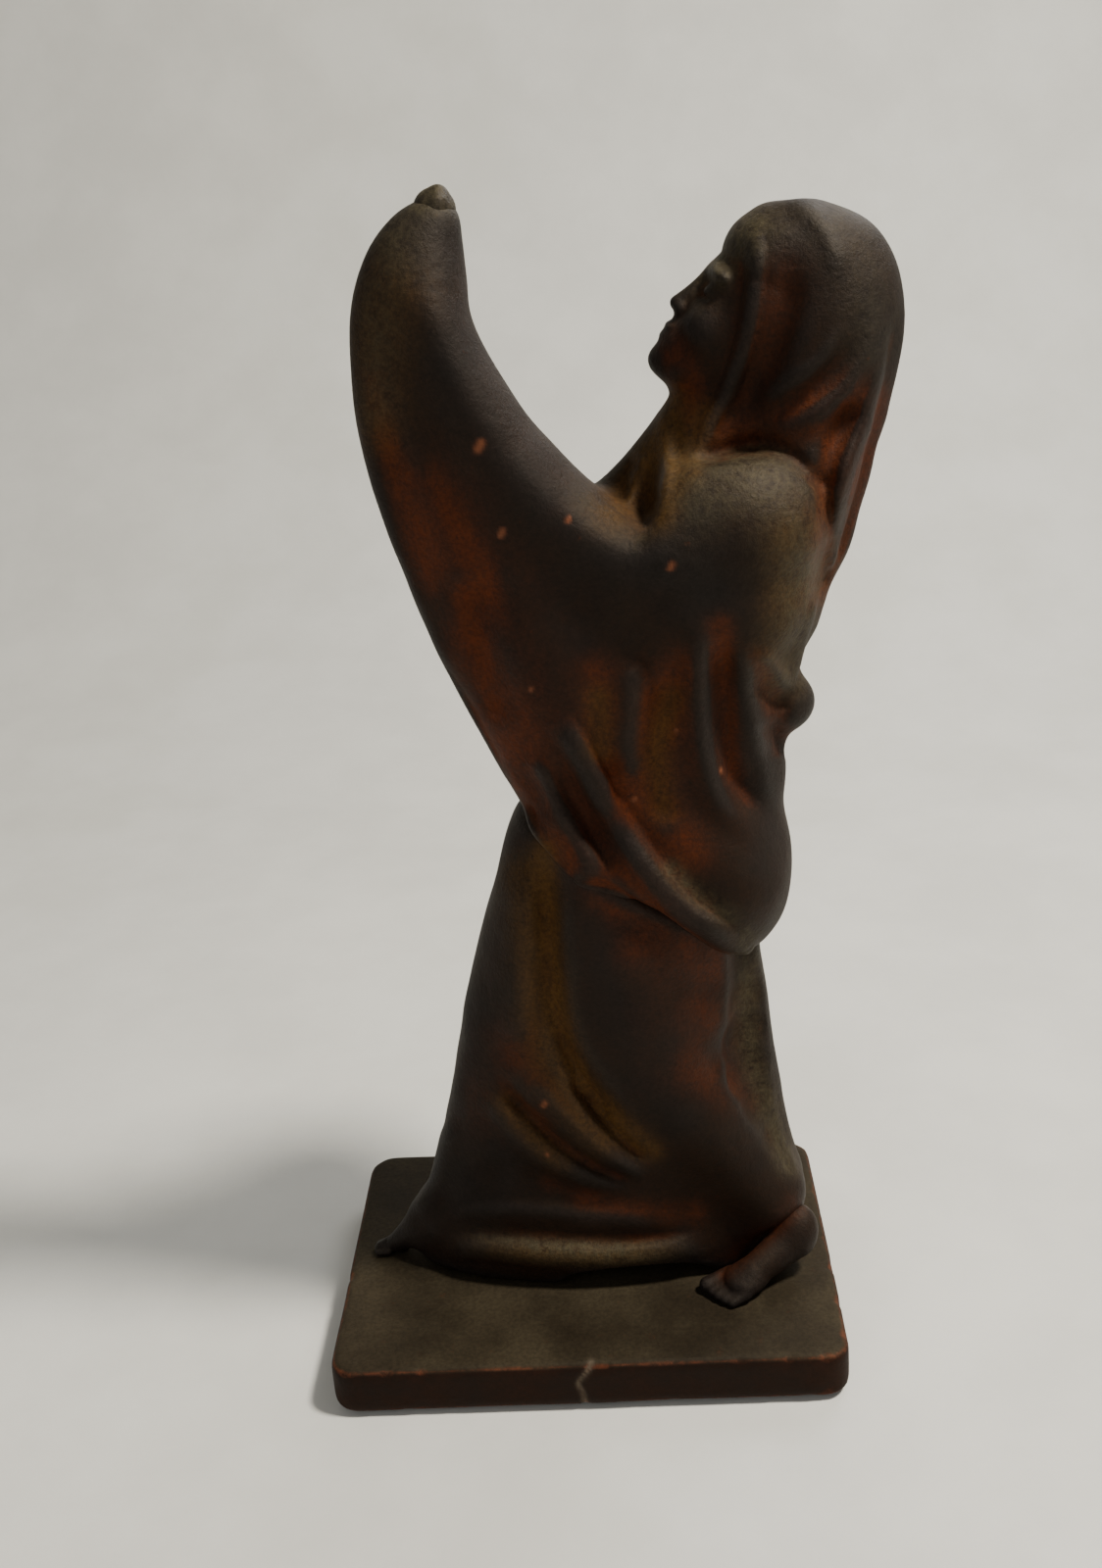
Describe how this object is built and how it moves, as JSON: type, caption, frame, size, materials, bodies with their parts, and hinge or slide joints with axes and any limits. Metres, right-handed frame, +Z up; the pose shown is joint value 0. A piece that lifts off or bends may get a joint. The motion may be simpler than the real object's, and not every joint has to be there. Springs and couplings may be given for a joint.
{
  "type": "figure trophy",
  "caption": "Statuette of a draped, striding dancer with one arm raised in a long hanging shawl, on a rectangular slab with a felt underside.",
  "frame": {"origin": "centre of the felt pad's underside, where the trophy stands", "axes": "+Z up, +X along the slab's long side towards the figure's back, +Y towards the figure's right side"},
  "size_m": [0.1126, 0.071, 0.221],
  "materials": {
    "patinated_terracotta": "waxed dark patina over red-brown fired clay, satin",
    "slab_terracotta": "waxed dark patina, rubbed red-brown at the edges",
    "felt": "matte pressed felt",
    "steel": "plain zinc-plated",
    "brass": "turned"
  },
  "bodies": {
    "root": {"felt_pad": "felt", "slab": "slab_terracotta", "skirt": "patinated_terracotta", "torso_shawl": "patinated_terracotta", "raised_arm_shawl": "patinated_terracotta", "fingertips": "patinated_terracotta", "head": "patinated_terracotta", "hood": "patinated_terracotta", "rear_foot": "patinated_terracotta", "front_foot": "patinated_terracotta", "fixing_stud": "steel", "threaded_insert": "brass", "washer": "steel", "hex_nut": "steel", "locating_pin": "steel", "neck_dowel": "steel", "hood_dowel": "steel", "arm_dowels": "steel"}
  },
  "joints": []
}
